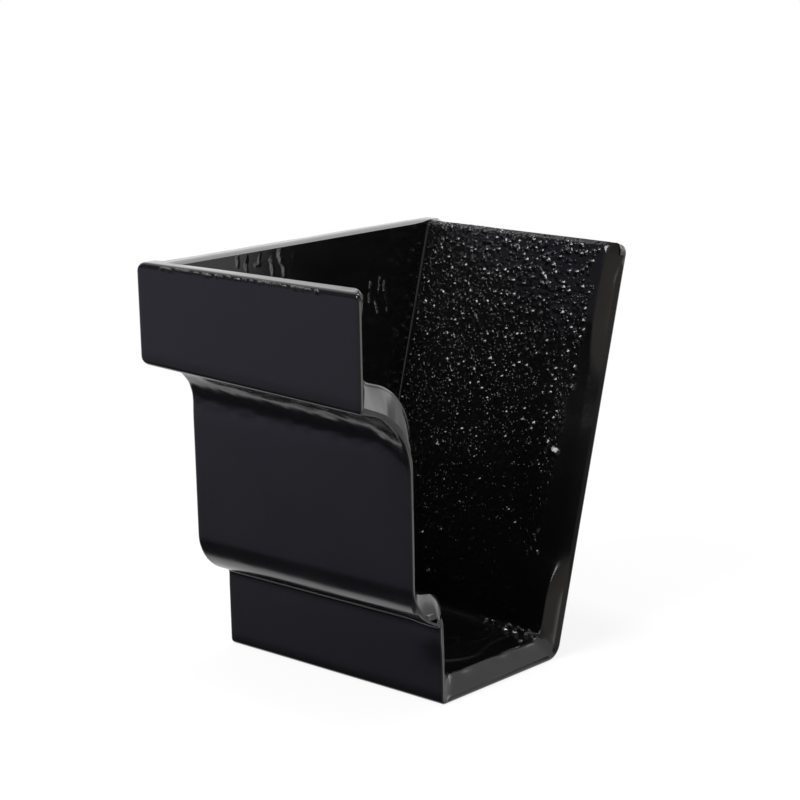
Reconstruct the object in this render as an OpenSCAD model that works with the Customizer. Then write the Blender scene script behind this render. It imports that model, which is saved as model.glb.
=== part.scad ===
// Stop end for a moulded cast-iron gutter: one casting, closed at -X, open at +X and at the top.
// The moulded front faces -Y, the leaning back faces +Y, and the flat sole lies on Z = 0.
// The origin is the middle of the overall box, on the underside of the sole.

/* [Overall] */
// Height from the sole to the top rim
height = 100; // [85:1:140]
// Length from the closed end to the mouth
length = 70; // [50:1:110]
// Width across the top at the closed end
closed_w = 100; // [83:1:150]
// Foundry draft of the front and of the back, in degrees
draft = 2.6; // [0:0.1:4]

/* [Front moulding] */
// Height of the upper band at the closed end
band_closed = 24; // [18:0.5:30]
// Height of the upper band at the mouth
band_mouth = 27; // [18:0.5:33]
// Set-back of the middle band from the upper band
mid_set = 15; // [10:0.5:20]
// Set-back of the lower band from the upper band
low_set = 24.4; // [20:0.1:32]
// Fall of the underside of the upper band, in degrees
ledge_fall = 17; // [0:1:25]
// Radius of the cove under the upper band
cove_r = 10; // [4:0.5:12]
// Height of the nose under the middle band, where its two faces would meet
nose_z = 23.6; // [21:0.1:34]
// Radius of the nose under the middle band
nose_r = 11; // [2:0.5:12]
// Height of the lower band
low_h = 19.5; // [14:0.5:24]
// Radius of the edge at the top of the lower band
quirk_r = 1.5; // [0.5:0.1:3]

/* [Back] */
// How far the foot of the back stands in from its top
back_set = 27; // [10:1:35]
// Radius where the sole meets the back, outside
heel_r = 4.5; // [1:0.5:8]

/* [Walls] */
// Thickness of the front and of the back
wall = 4.5; // [3.5:0.1:6]
// Thickness of the sole
sole_t = 5; // [4:0.1:7]
// Thickness of the end plate
plate_t = 5; // [3.5:0.1:8]
// Radius inside, where the end plate meets the walls
plate_fillet = 2; // [0.5:0.1:4]
// Radius inside, where one wall meets another
inner_r = 3; // [1:0.5:4]

/* [Shelf inside the front] */
// Height of the shelf's end over the top of the lower band
shelf_over = 6; // [4.5:0.5:9]
// Fall of the shelf, in degrees
shelf_fall = 11; // [0:1:25]
// Radius at the end of the shelf
shelf_r = 5; // [3.5:0.5:6]

/* [Edges] */
// Radius of the outer corners of the section
corner_r = 1.3; // [0.5:0.1:2]
// Radius of the outer edges of the closed end
closed_edge = 1.3; // [0.4:0.1:2]
// Radius of the outer edges of the mouth
mouth_edge = 0.5; // [0.2:0.1:1]
// Bevel along the inner edge of the top rim
rim_bevel = 1.2; // [0.4:0.1:2]
// How far the end plate's top lies below the front rim at the front
plate_dip = 1; // [0.2:0.1:3]
// Length over which the level top of the plate passes into the sloping top of the back
top_blend = 1.5; // [0.5:0.1:4]

/* [Mouth] */
// Thickness left at the mouth, outside the bevel
lip = 1.4; // [1:0.1:2.5]
// Length of the bevel inside the mouth
bevel = 4; // [1:0.5:8]

/* [Bolt hole] */
// Diameter of the bolt hole in the sole
bolt_d = 8; // [6:0.5:9]
// Distance from the mouth to the middle of the bolt hole
bolt_in = 26; // [18:0.5:36]

/* [Hidden] */
// Chords in a large rounded corner, in a small one, and in a rounded edge
many = 10;
few = 4;
edge_steps = 3;
// Share of the bevel's depth that is reached at half its length
bevel_bulge = 0.38;
// Overlap past a face that is cut through
past = 1;
// Radius that a corner keeps when an inset uses it up
least_r = 0.5;
// Sine of the turn below which two edges count as one line
straight = 0.001;
iron = "#1c1c20";
lean = atan(back_set / height);
// How far the rounded top corner keeps the back within its nominal width
back_short = corner_r * (tan(lean) + 1 / cos(lean) - 1);

// Outside width across the top at x from the closed end
function width_at(x) = closed_w - 2 * x * tan(draft);
// Where the front face stands at x, with the overall box centred
function front_y(x) = (back_short - width_at(x)) / 2;
// Height of the upper band at x from the closed end
function band_at(x) = band_closed + (band_mouth - band_closed) * x / length;

// Corners of the outside section as [y, z, radius, chords], y from the front face, each followed by its edge.
// The top of the back is level at fall 0, and square to the leaning back at fall 1.
function section(w, band, fall) = [
    [0, height, corner_r, few],
    [0, height - band, corner_r, few],
    [mid_set, height - band - mid_set * tan(ledge_fall), cove_r, many],
    [mid_set, nose_z, nose_r, many],
    [low_set, low_h, quirk_r, few],
    [low_set, 0, corner_r, few],
    [w - back_set, 0, heel_r, few],
    [w - fall * wall * sin(lean) * tan(lean), height - fall * wall * sin(lean), corner_r, few],
    [w - wall / cos(lean), height, 0, 0]
];

// Corners of the hollow below its rim, in the same order. The upper step keeps one thickness of wall over
// the ledge of the closed end, and the ledge thickens below it towards the mouth.
function hollow_section(w) =
    let (
        step_z = height - band_closed + wall / cos(ledge_fall) - wall * tan(ledge_fall),
        shelf_z = low_h + shelf_over,
        back_y = w - back_set - wall / cos(lean) + sole_t * tan(lean)
    )
    [
        [wall, step_z, inner_r, few],
        [mid_set + wall, step_z - mid_set * tan(ledge_fall), cove_r + wall, many],
        [mid_set + wall, shelf_z + (low_set - mid_set) * tan(shelf_fall), inner_r, few],
        [low_set + wall, shelf_z, shelf_r, few],
        [low_set + wall, sole_t, inner_r, few],
        [back_y, sole_t, inner_r, few],
        [back_y + (height - sole_t) * tan(lean), height, 0, 0],
        [wall, height, 0, 0]
    ];

// Edge i runs from corner i to the next; its inward normal, and its distance from the origin
function before(c, i) = (i + len(c) - 1) % len(c);
function edge_normal(c, i) =
    let (p = c[i], q = c[(i + 1) % len(c)], d = [q[0] - p[0], q[1] - p[1]])
    [-d[1], d[0]] / norm(d);
function edge_reach(c, i) = edge_normal(c, i) * [c[i][0], c[i][1]];

// Where two edges meet, each given by its normal and its distance
function meet(n1, r1, n2, r2) =
    let (det = n1[0] * n2[1] - n1[1] * n2[0])
    [(r1 * n2[1] - n1[1] * r2) / det, (n1[0] * r2 - r1 * n2[0]) / det];

// Positive at a corner that stands out, negative in a hollow
function turn(c, i) =
    let (a = edge_normal(c, before(c, i)), b = edge_normal(c, i))
    a[0] * b[1] - a[1] * b[0];

// Corner i once each edge has moved in by its own amount
function moved(c, i, by) =
    let (
        j = before(c, i),
        a = edge_normal(c, j),
        b = edge_normal(c, i)
    )
    abs(turn(c, i)) < straight ? [c[i][0], c[i][1]] + a * by[j]
        : meet(a, edge_reach(c, j) + by[j], b, edge_reach(c, i) + by[i]);

// A corner as an arc of chords between the two edges beside it, or as a point where it has no chords
function rounded(c, i) =
    let (
        r = c[i][2],
        n = c[i][3],
        a = edge_normal(c, before(c, i)),
        b = edge_normal(c, i),
        side = turn(c, i) > 0 ? 1 : -1,
        p = [c[i][0], c[i][1]],
        middle = meet(a, a * p + side * r, b, b * p + side * r),
        from = atan2(-side * a[1], -side * a[0]),
        sweep = side * acos(max(-1, min(1, a * b)))
    )
    n == 0 ? [p] : [for (k = [0:n]) let (t = from + sweep * k / n) middle + r * [cos(t), sin(t)]];
function outline(c) = [for (i = [0:len(c) - 1]) each rounded(c, i)];

// A section's outline stood up at x from the closed end, in the casting's own frame
function stand(x, flat) = [
    for (p = flat) [x - length / 2, front_y(x) + p[0], p[1]]
];

// Outside of the casting at x, drawn in by d: what stands out sharpens and a hollow widens
function outer_ring(x, d, fall) =
    let (
        c = section(width_at(x), band_at(x), fall),
        by = [for (i = [1:len(c)]) d],
        drawn = [
            for (i = [0:len(c) - 1])
            let (p = moved(c, i, by), r = turn(c, i) > 0 ? max(c[i][2] - d, least_r) : c[i][2] + d)
            [p[0], p[1], r, c[i][3]]
        ]
    )
    stand(x, outline(drawn));

// Hollow at x, drawn in by d. Where d is negative it widens, and the sole thins in proportion, down to the
// same lip as the walls. Above, it opens by the rim's bevel and runs out past the rim.
function hollow_ring(x, d) =
    let (
        c = hollow_section(width_at(x)),
        sole_d = d * (sole_t - lip) / (wall - lip),
        by = [d, d, d, d, sole_d, d, 0, d],
        back_y = width_at(x) - (wall + d) / cos(lean),
        above = [
            [back_y + past + rim_bevel, height + past, 0, 0],
            [wall + d - past - rim_bevel, height + past, 0, 0],
            [wall + d, height - rim_bevel, 0, 0]
        ],
        walls = [
            for (i = [0:5])
            let (p = moved(c, i, by), r = turn(c, i) > 0 ? c[i][2] : c[i][2] + d)
            [p[0], p[1], r, c[i][3]]
        ],
        back = [[back_y - rim_bevel * tan(lean), height - rim_bevel, 0, 0]]
    )
    stand(x, outline(concat(above, walls, back)));

// A solid skinned over rings that all have the same number of points. Each ring ends with a point at the top
// of the back that all its other points are in plain sight of, so that each end can be a fan from there.
module skin(rings) {
    n = len(rings[0]);
    last_ring = len(rings) - 1;
    points = [for (ring = rings) each ring];
    sides = [
        for (k = [0:last_ring - 1], i = [0:n - 1])
        let (a = k * n + i, b = k * n + (i + 1) % n)
        each [[a, a + n, b], [b, a + n, b + n]]
    ];
    start_cap = [for (i = [0:n - 1]) (i + n - 1) % n];
    end_cap = [for (i = [n - 1:-1:0]) last_ring * n + i];
    polyhedron(points, concat(sides, [start_cap, end_cap]));
}

// Quarter-round as [distance along, distance in], from the sharp end to the full section
function quarter(r) = [
    for (k = [0:edge_steps])
    let (a = 90 * k / edge_steps)
    [r * (1 - cos(a)), r * (1 - sin(a))]
];

module outside() {
    closed = [for (q = quarter(closed_edge)) outer_ring(q[0], q[1], 0)];
    blend = [
        outer_ring(plate_t, 0, 0),
        outer_ring(plate_t + top_blend, 0, 1)
    ];
    mouth = [for (k = [edge_steps:-1:0]) let (q = quarter(mouth_edge)[k]) outer_ring(length - q[0], q[1], 1)];
    skin(concat(closed, blend, mouth));
}

module hollow() {
    plate = [for (q = quarter(plate_fillet)) hollow_ring(plate_t + q[0], q[1])];
    depth = wall - lip;
    mouth = [
        hollow_ring(length - bevel, 0),
        hollow_ring(length - bevel / 2, -depth * bevel_bulge),
        hollow_ring(length, -depth),
        hollow_ring(length + past, -depth)
    ];
    skin(concat(plate, mouth));
}

// Takes the end plate's top down towards the front, from level with the rim at the back
module plate_top() {
    span = closed_w - 2 * wall;
    translate([-length / 2 - past, front_y(0) + wall, height - plate_dip])
        rotate([atan(plate_dip / span), 0, 0])
            cube([plate_t + plate_fillet + past, closed_w, plate_dip + past]);
}

module bolt_hole() {
    middle = (low_set + width_at(length - bolt_in) - back_set) / 2 + front_y(length - bolt_in);
    translate([length / 2 - bolt_in, middle, -past])
        cylinder(d = bolt_d, h = sole_t + 2 * past, $fn = 48);
}

module stop_end() {
    color(iron)
    difference() {
        outside();
        hollow();
        plate_top();
        bolt_hole();
    }
}

stop_end();
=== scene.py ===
# %% [markdown]
# # A cast-iron gutter stop end, painted black
#
# The real object is one small iron casting: a flat sole, a moulded front, a leaning back and an end plate, with the
# top and one end open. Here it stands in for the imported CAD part, in the same frame. The lesson draws its section,
# pulls it into a skin, cuts the details, raises the marks that the paint and the sand mould leave, and finishes it
# with one procedural paint.

import math

import bmesh
import bpy
import numpy as np
from mathutils import Matrix, Vector, kdtree, noise


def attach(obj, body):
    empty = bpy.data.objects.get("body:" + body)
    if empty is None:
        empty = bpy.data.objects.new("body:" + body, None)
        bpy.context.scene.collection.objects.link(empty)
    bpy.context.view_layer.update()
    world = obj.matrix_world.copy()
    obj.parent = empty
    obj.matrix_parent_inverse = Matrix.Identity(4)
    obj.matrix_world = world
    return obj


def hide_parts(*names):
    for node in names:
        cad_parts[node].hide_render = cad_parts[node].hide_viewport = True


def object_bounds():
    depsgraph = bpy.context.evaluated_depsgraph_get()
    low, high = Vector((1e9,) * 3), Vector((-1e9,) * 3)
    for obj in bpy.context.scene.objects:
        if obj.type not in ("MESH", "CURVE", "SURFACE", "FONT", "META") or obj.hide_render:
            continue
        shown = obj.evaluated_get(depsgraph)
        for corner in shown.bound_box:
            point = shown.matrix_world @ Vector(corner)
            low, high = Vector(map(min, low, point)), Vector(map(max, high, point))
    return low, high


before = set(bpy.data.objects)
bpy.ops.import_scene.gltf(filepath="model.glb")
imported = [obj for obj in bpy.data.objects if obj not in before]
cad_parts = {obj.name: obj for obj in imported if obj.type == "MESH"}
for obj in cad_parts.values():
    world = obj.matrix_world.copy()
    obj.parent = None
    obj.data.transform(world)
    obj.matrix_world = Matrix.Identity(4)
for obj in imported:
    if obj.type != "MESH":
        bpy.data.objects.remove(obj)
cad_low, cad_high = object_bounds()
print("CAD box in mm:", [round(v * 1000, 2) for v in (*cad_low, *cad_high)])

# %% [markdown]
# ## The section
#
# The casting is drawn in millimetres: y runs back from the front face, z up from the sole, and x along the gutter from
# the closed end. The main sizes are the CAD source's own. Small ones differ, where the photo shows the thick paint's
# shape. The section could be traced as a curve, but then its corners would not keep true radii while the draft
# narrows it to the mouth.

# %% Sizes in millimetres
MM = 0.001
HEIGHT, LENGTH, CLOSED_W = 100.0, 70.0, 100.0
DRAFT = math.tan(math.radians(2.6))
BAND_CLOSED, BAND_MOUTH = 24.0, 27.0
MID_SET, LOW_SET, LOW_H = 15.0, 24.4, 19.5
LEDGE_FALL = math.radians(17.0)
COVE_R, NOSE_Z, NOSE_R, QUIRK_R = 10.0, 23.6, 11.0, 1.5
BACK_SET, HEEL_R = 27.0, 4.5
WALL, SOLE_T, PLATE_T, PLATE_FILLET, INNER_R = 4.5, 5.0, 5.0, 0.6, 3.0
SHELF_OVER, SHELF_FALL, SHELF_R = 6.0, math.radians(11.0), 5.0
CORNER_R, CLOSED_EDGE, MOUTH_EDGE, RIM_BEVEL = 1.3, 1.3, 0.8, 1.2
PLATE_DIP, PLATE_FADE, TOP_BLEND = 1.0, 4.0, 1.5
LIP, BEVEL, BEVEL_BULGE = 1.4, 4.0, 0.52
RIM_SINK, PLATE_LEVEL, PLATE_SLOPE = 0.55, 2.6, math.radians(13.0)
END_ROUND, MOUTH_ROUND, BACK_ROUND = 2.4, 1.2, 2.0
FLARE_START, COVE_FLARE = 58.0, 6.0
BOLT_D, BOLT_IN = 8.0, 26.0
LEAN = math.atan2(BACK_SET, HEIGHT)
SIN, COS, TAN = math.sin(LEAN), math.cos(LEAN), math.tan(LEAN)
BACK_SHORT = CORNER_R * (TAN + 1 / COS - 1)
DEPTH = WALL - LIP
print("the back leans", round(math.degrees(LEAN), 2), "degrees")


# %% Width and front face along the gutter
def smooth(t):
    """0 up to t = 0, 1 from t = 1 on, soft between them. t is a number or an array."""
    t = np.clip(t, 0, 1)
    return t * t * (3 - 2 * t)


def width_at(x):
    return CLOSED_W - 2 * x * DRAFT


def front_y(x):
    return (BACK_SHORT - width_at(x)) / 2


def band_at(x):
    return BAND_CLOSED + (BAND_MOUTH - BAND_CLOSED) * x / LENGTH


def place(x, y, z):
    """A point of the section at x, in metres in the casting's own frame."""
    return Vector(((x - LENGTH / 2) * MM, (front_y(x) + y) * MM, z * MM))


print("width across the top, closed end and mouth:", width_at(0), round(width_at(LENGTH), 2))

# %% [markdown]
# ## Corners with true radii
#
# A corner is given as its place, its radius, its number of chords and the number of steps on the straight after it.
# Each edge of a section can be moved in by its own amount, which is how the rounded ends, the fillet at the plate
# and the bevel inside the mouth come out of the same few lines.


# %% Edges, corners and arcs
def edge(a, b):
    """Inward normal of the edge from a to b, and its distance from the origin."""
    run = math.hypot(b[0] - a[0], b[1] - a[1])
    n = ((a[1] - b[1]) / run, (b[0] - a[0]) / run)
    return n, n[0] * a[0] + n[1] * a[1]


def meet(one, other):
    """Where two edges cross."""
    (n1, r1), (n2, r2) = one, other
    det = n1[0] * n2[1] - n1[1] * n2[0]
    return (r1 * n2[1] - n1[1] * r2) / det, (n1[0] * r2 - r1 * n2[0]) / det


def turned(a, b):
    """Positive where the section stands out, negative in a hollow."""
    return a[0][0] * b[0][1] - a[0][1] * b[0][0]


def drawn_in(corners, by, grow):
    """The corners once edge i has moved in by by[i]; grow(radius, stands_out) gives each new radius."""
    lines = [edge(p, corners[(i + 1) % len(corners)]) for i, p in enumerate(corners)]
    made = []
    for i, p in enumerate(corners):
        a, b = lines[i - 1], lines[i]
        y, z = p[0], p[1]
        if abs(turned(a, b)) > 0.001:
            y, z = meet((a[0], a[1] + by[i - 1]), (b[0], b[1] + by[i]))
        made.append((y, z, grow(p[2], turned(a, b) > 0), *p[3:]))
    return made


def arc(before, p, after):
    """Corner p as points on its arc."""
    a, b = edge(before, p), edge(p, after)
    if not p[3]:
        return [(p[0], p[1])]
    side = 1 if turned(a, b) > 0 else -1
    cy, cz = meet((a[0], a[1] + side * p[2]), (b[0], b[1] + side * p[2]))
    start = math.atan2(-side * a[0][1], -side * a[0][0])
    cosine = a[0][0] * b[0][0] + a[0][1] * b[0][1]
    sweep = side * math.acos(max(-1.0, min(1.0, cosine)))
    turns = [start + sweep * k / p[3] for k in range(p[3] + 1)]
    return [(cy + p[2] * math.cos(t), cz + p[2] * math.sin(t)) for t in turns]


def outline(corners):
    """Points along the corners from the first to the last, with the straights cut into steps."""
    ring = []
    for i, p in enumerate(corners):
        points = arc(corners[i - 1], p, corners[(i + 1) % len(corners)])
        if ring:
            y0, z0 = ring[-1]
            y1, z1 = points[0]
            steps = corners[i - 1][4]
            ring += [(y0 + (y1 - y0) * k / steps, z0 + (z1 - z0) * k / steps) for k in range(1, steps)]
        ring += points
    return ring


# %% The outside and the hollow at x
def back_drop(x):
    """How far the back's top is rounded off at the mouth."""
    over = max(0.0, BACK_ROUND - (LENGTH - x))
    return BACK_ROUND - math.sqrt(BACK_ROUND ** 2 - over ** 2)


def end_round(x):
    """How far the band's corners are rounded off at x, seen from the front."""
    left, right = max(0.0, END_ROUND - x), max(0.0, MOUTH_ROUND - (LENGTH - x))
    return END_ROUND - math.sqrt(END_ROUND ** 2 - left ** 2) + MOUTH_ROUND - math.sqrt(MOUTH_ROUND ** 2 - right ** 2)


def outside_at(x, inset, fall):
    """Outside section drawn in by inset. fall turns the back's top from level, 0, to square with the back, 1."""
    w, ledge_z = width_at(x), HEIGHT - band_at(x) - MID_SET * math.tan(LEDGE_FALL)
    sunk = RIM_SINK * (x / LENGTH) ** 1.5 + end_round(x)
    cove = COVE_R + COVE_FLARE * max(0.0, (x - FLARE_START) / (LENGTH - FLARE_START)) ** 2
    top_z, top_y = HEIGHT - back_drop(x), w - back_drop(x) * TAN
    corners = [
        (0, HEIGHT - sunk, CORNER_R, 6, 9),
        (0, HEIGHT - band_at(x) + end_round(x), CORNER_R, 5, 3),
        (MID_SET, ledge_z, cove, 14, 9),
        (MID_SET, NOSE_Z, NOSE_R, 16, 2),
        (LOW_SET, LOW_H, QUIRK_R, 5, 7),
        (LOW_SET, 0, CORNER_R, 5, 16),
        (w - BACK_SET, 0, HEEL_R, 7, 34),
        (top_y - fall * WALL * SIN * TAN, top_z - fall * WALL * SIN, CORNER_R, 5, 2),
        (top_y - WALL / COS, top_z, 0, 0, 1),
    ]
    return drawn_in(corners, [inset] * len(corners), lambda r, out: max(r - inset, 0.5) if out else r + inset)


def hollow_at(x, inset):
    """Hollow section below the rim, drawn in by inset. A negative inset widens it, the sole in proportion."""
    w = width_at(x)
    step_z = HEIGHT - BAND_CLOSED + WALL / math.cos(LEDGE_FALL) - WALL * math.tan(LEDGE_FALL)
    shelf_z = LOW_H + SHELF_OVER
    foot_y = w - BACK_SET - WALL / COS + SOLE_T * TAN
    corners = [
        (WALL, step_z, INNER_R, 5, 3),
        (MID_SET + WALL, step_z - MID_SET * math.tan(LEDGE_FALL), COVE_R + WALL, 14, 9),
        (MID_SET + WALL, shelf_z + (LOW_SET - MID_SET) * math.tan(SHELF_FALL), INNER_R, 6, 2),
        (LOW_SET + WALL, shelf_z, SHELF_R, 7, 5),
        (LOW_SET + WALL, SOLE_T, INNER_R, 6, 14),
        (foot_y, SOLE_T, INNER_R, 6, 45),
        (foot_y + (HEIGHT - SOLE_T) * TAN, HEIGHT, 0, 0, 1),
        (WALL, HEIGHT, 0, 0, 9),
    ]
    sole = inset * (SOLE_T - LIP) / (WALL - LIP)
    by = [inset, inset, inset, inset, sole, inset, 0, inset]
    return drawn_in(corners, by, lambda r, out: r if out else r + inset)


print("corners of the outside and of the hollow:", len(outside_at(0, 0, 0)), len(hollow_at(0, 0)))


# %% [markdown]
# ## Rings
#
# Along most of its length the casting's section is one closed ring: down the outside of the front, under the sole, up
# the back, over the rim and back along the hollow. At the end plate the ring runs over the plate's top instead, and
# both share their points where they meet. At the mouth the wall thins to a lip by a bevel, which is longer and flatter
# at mid height on the back. The inner half of the mouth's edge lags behind the outer one, most of all on the step
# behind the cove, and the corner over the shelf is thinner.


# %% The rim's points
def plate_top(x, y):
    """Height of the end plate's top at y: it falls to the front, and its inner half to the hollow."""
    reach = PLATE_BACK - WALL
    height = HEIGHT - PLATE_DIP * min(1.0, max(0.0, 1 - (y - WALL) / reach))
    fade = min(1.0, max(0.0, (PLATE_BACK - y) / PLATE_FADE))
    return height - fade * max(0.0, x - PLATE_LEVEL) * math.tan(PLATE_SLOPE)


def rim_step(x, low_y):
    """Four points from the hollow's wall up to the front rim: a bevel, and at the plate a small step down."""
    bevel = [(low_y - RIM_BEVEL * k / 3, HEIGHT - RIM_BEVEL * (3 - k) / 3) for k in range(4)]
    step = [(low_y, HEIGHT - 2 * RIM_BEVEL)]
    step += [(y, plate_top(PLATE_T, y)) for y in (low_y - 0.2, WALL + 0.35)] + [(WALL - 0.2, HEIGHT)]
    share = min(1.0, max(0.0, (x - PLATE_T) / PLATE_FILLET))
    return [(a[0] + (b[0] - a[0]) * share, a[1] + (b[1] - a[1]) * share) for a, b in zip(step, bevel)]


def back_bevel(x, inset, drop, fall):
    """Foot and top of the bevel along the back's rim; drop is how far the outside is drawn in there."""
    top_z = HEIGHT - back_drop(x)
    back_y = width_at(x) - back_drop(x) * TAN - (WALL + inset) / COS
    foot = (back_y - RIM_BEVEL * TAN, top_z - RIM_BEVEL)
    corners = outside_at(x, drop, fall)
    top = meet(edge(foot, (back_y + 1 + RIM_BEVEL, top_z + 1)), edge(corners[7], corners[8]))
    return foot, top


PLATE_BACK = back_bevel(PLATE_T, PLATE_FILLET, 0, 0)[1][0]
print("the end plate's top runs back to", round(PLATE_BACK, 2), "mm from the front face")


# %% One closed ring of the walls
LONG_START, LONG_DEPTH = 58.0, 3.3
LONG_FOOT, LONG_FOOT_FADE, LONG_TOP, LONG_TOP_FADE = 15, 11, 82, 18
LIP_BACK, LIP_FADE, SINK_IN = 1.0, 9.0, 0.3
STEP_BACK, STEP_DEEPEST, STEP_SHALLOW = 2.6, 26, 0.25
STEP_FOOT, STEP_FOOT_FADE, STEP_TOP, STEP_TOP_FADE = 56, 8, 84, 5
THIN_Y, THIN_Z, THIN_REACH, THIN_BY_Y, THIN_BY_Z = 21, 27, 9, 1.6, 1.3


def half_rings(x, inset, drop, fall):
    """Outside and hollow at x: inset draws the hollow in, drop the outside."""
    outer = outline(outside_at(x, drop, fall))[:-1]
    foot, top = back_bevel(x, inset, drop, fall)
    inner_corners = hollow_at(x, inset)
    inner_corners[6] = (*foot, 0, 0, 1)
    rise = rim_step(x, WALL + inset)
    rise = [(y, min(z, HEIGHT - drop - RIM_SINK * (x / LENGTH) ** 3 * SINK_IN)) for y, z in rise]
    inner_corners[7] = (*rise[0], 0, 0, 9)
    inner = outline([inner_corners[7]] + inner_corners[:7])
    return outer, [top] + inner[::-1] + rise[1:]


def long_bevel(x, inset, y, z):
    """How far the hollow's back moves out at mid height, where the bevel is longer and flatter."""
    on_back = y + (HEIGHT - z) * TAN > width_at(x) - 2 * WALL
    level = smooth((LONG_TOP - z) / LONG_TOP_FADE) * smooth((z - LONG_FOOT) / LONG_FOOT_FADE)
    depth = LONG_DEPTH * (x - LONG_START) / (LENGTH - LONG_START)
    return on_back * level * min(1.0, max(0.0, x - LONG_START)) * (depth - max(0.0, -inset)) / COS


def wall_ring(x, inset, drop, fall, lag=0.0):
    """The ring at x, whose inner half lags behind in x at the mouth."""
    outer, inner = half_rings(x, inset, drop, fall)
    inner = [(y + long_bevel(x, inset, y, z), z) for y, z in inner]
    if not lag:
        return [place(x, y, z) for y, z in outer + inner]
    shallow = half_rings(x, inset * STEP_SHALLOW, drop, fall)[1]
    ring = [place(x, y, z) for y, z in outer]
    for (y0, z0), (y1, z1) in zip(inner, shallow):
        step = max(0.0, min(1.0, (z0 - STEP_FOOT) / STEP_FOOT_FADE, (STEP_TOP - z0) / STEP_TOP_FADE))
        if y0 > STEP_DEEPEST:
            step = 0.0
        behind = lag * (LIP_BACK * min(1.0, (HEIGHT - z0) / LIP_FADE) ** 2 + STEP_BACK * step)
        thin = lag * max(0.0, 1 - math.hypot(y0 - THIN_Y, z0 - THIN_Z) / THIN_REACH)
        y0, z0 = y0 - THIN_BY_Y * thin, z0 - THIN_BY_Z * thin
        ring.append(place(x - behind, y0 + (y1 - y0) * step, z0 + (z1 - z0) * step))
    return ring


print("points in a wall ring:", len(wall_ring(20, 0, 0, 1)))


# %% One closed ring of the plate
PLATE_STEPS = 30


def plate_ring(x, drop):
    """Outside at x in the thickness of the end plate, closed along the plate's top."""
    outer = outline(outside_at(x, drop, 0))[:-1]
    back_y = PLATE_BACK + front_y(PLATE_T) - front_y(x)
    rise = rim_step(PLATE_T, WALL + PLATE_FILLET)[1:]
    along = [back_y + (rise[0][0] - back_y) * k / PLATE_STEPS for k in range(PLATE_STEPS)]
    along += [rise[0][0], rise[1][0]]
    over = [(y, plate_top(x, y)) for y in along] + [(rise[2][0], HEIGHT - end_round(x))]
    ring = outer + [(y, min(z, HEIGHT - drop)) for y, z in over]
    return [place(x, y, z) for y, z in ring]


OUTER = len(outline(outside_at(0, 0, 0))) - 1
print("points in a plate ring:", len(plate_ring(3, 0)), "of which on the outside:", OUTER)

# %% [markdown]
# ## The skin
#
# The skin starts as a circle with one vertex for each point of the ring, laid on the section. Each ring is extruded
# from the one before, which keeps one clean row of four-sided faces per step. A vertex carries its number along the
# ring, so that an extruded one knows where it belongs, and a mark if it lies on the casting's outside.


# %% Extruding a skin ring by ring
def nothing_selected():
    if bpy.context.object and bpy.context.object.mode != "OBJECT":
        bpy.ops.object.mode_set(mode="OBJECT")
    bpy.ops.object.select_all(action="DESELECT")


def only(piece):
    """Selects this piece alone and makes it the active one."""
    nothing_selected()
    piece.select_set(True)
    bpy.context.view_layer.objects.active = piece


def lay_on(points):
    """Moves the selected ring's vertices to their points."""
    mesh = bpy.context.object.data
    bm = bmesh.from_edit_mesh(mesh)
    number = bm.verts.layers.int["number"]
    for v in bm.verts:
        if v.select:
            v.co = points[v[number]]
    bmesh.update_edit_mesh(mesh)


def skin(name, rings):
    """A skin over rings that all have the same number of points, left open at both ends."""
    nothing_selected()
    bpy.ops.mesh.primitive_circle_add(vertices=len(rings[0]), radius=0.05, fill_type="NOTHING")
    made = bpy.context.object
    made.name = made.data.name = name
    bpy.ops.object.mode_set(mode="EDIT")
    bm = bmesh.from_edit_mesh(made.data)
    number, outside = bm.verts.layers.int.new("number"), bm.verts.layers.float.new("outside")
    for v in bm.verts:
        v[number] = v.index
        v[outside] = float(v.index < OUTER)
    bmesh.update_edit_mesh(made.data)
    bpy.ops.mesh.select_all(action="SELECT")
    lay_on(rings[0])
    for points in rings[1:]:
        bpy.ops.mesh.extrude_region_move()
        lay_on(points)
    print(name, len(rings), "rings,", len(bmesh.from_edit_mesh(made.data).faces), "faces")
    return made


def quarter(radius, steps):
    """A quarter-round as (distance along, distance in), from the sharp end to the full section."""
    turns = [math.pi / 2 * k / steps for k in range(steps + 1)]
    return [(radius * (1 - math.cos(t)), radius * (1 - math.sin(t))) for t in turns]


# %% The walls, from the end plate to the mouth
wall_rows = [(PLATE_T + q[0], q[1], 0) for q in quarter(PLATE_FILLET, 4)]
wall_rows = [(x, inset, drop, min(1.0, (x - PLATE_T) / TOP_BLEND)) for x, inset, drop in wall_rows]
BEVEL_START = LENGTH - BEVEL
ROWS = 29
start_x = PLATE_T + PLATE_FILLET
wall_rows += [(start_x + (BEVEL_START - start_x) * k / ROWS, 0, 0, 1) for k in range(1, ROWS + 1)]


def mouth_row(x, drop):
    """A row in the bevel at the mouth."""
    t = (x - BEVEL_START) / BEVEL
    return x, -DEPTH * (BEVEL_BULGE * t + (1 - BEVEL_BULGE) * t * t), drop, 1, t


wall_rows += [mouth_row(BEVEL_START + (BEVEL - MOUTH_EDGE) * k / 5, 0) for k in range(1, 5)]
wall_rows += [mouth_row(LENGTH - q[0], q[1]) for q in quarter(MOUTH_EDGE, 4)[::-1]]
casting = skin("stop_end_casting", [wall_ring(*row) for row in wall_rows])

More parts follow.
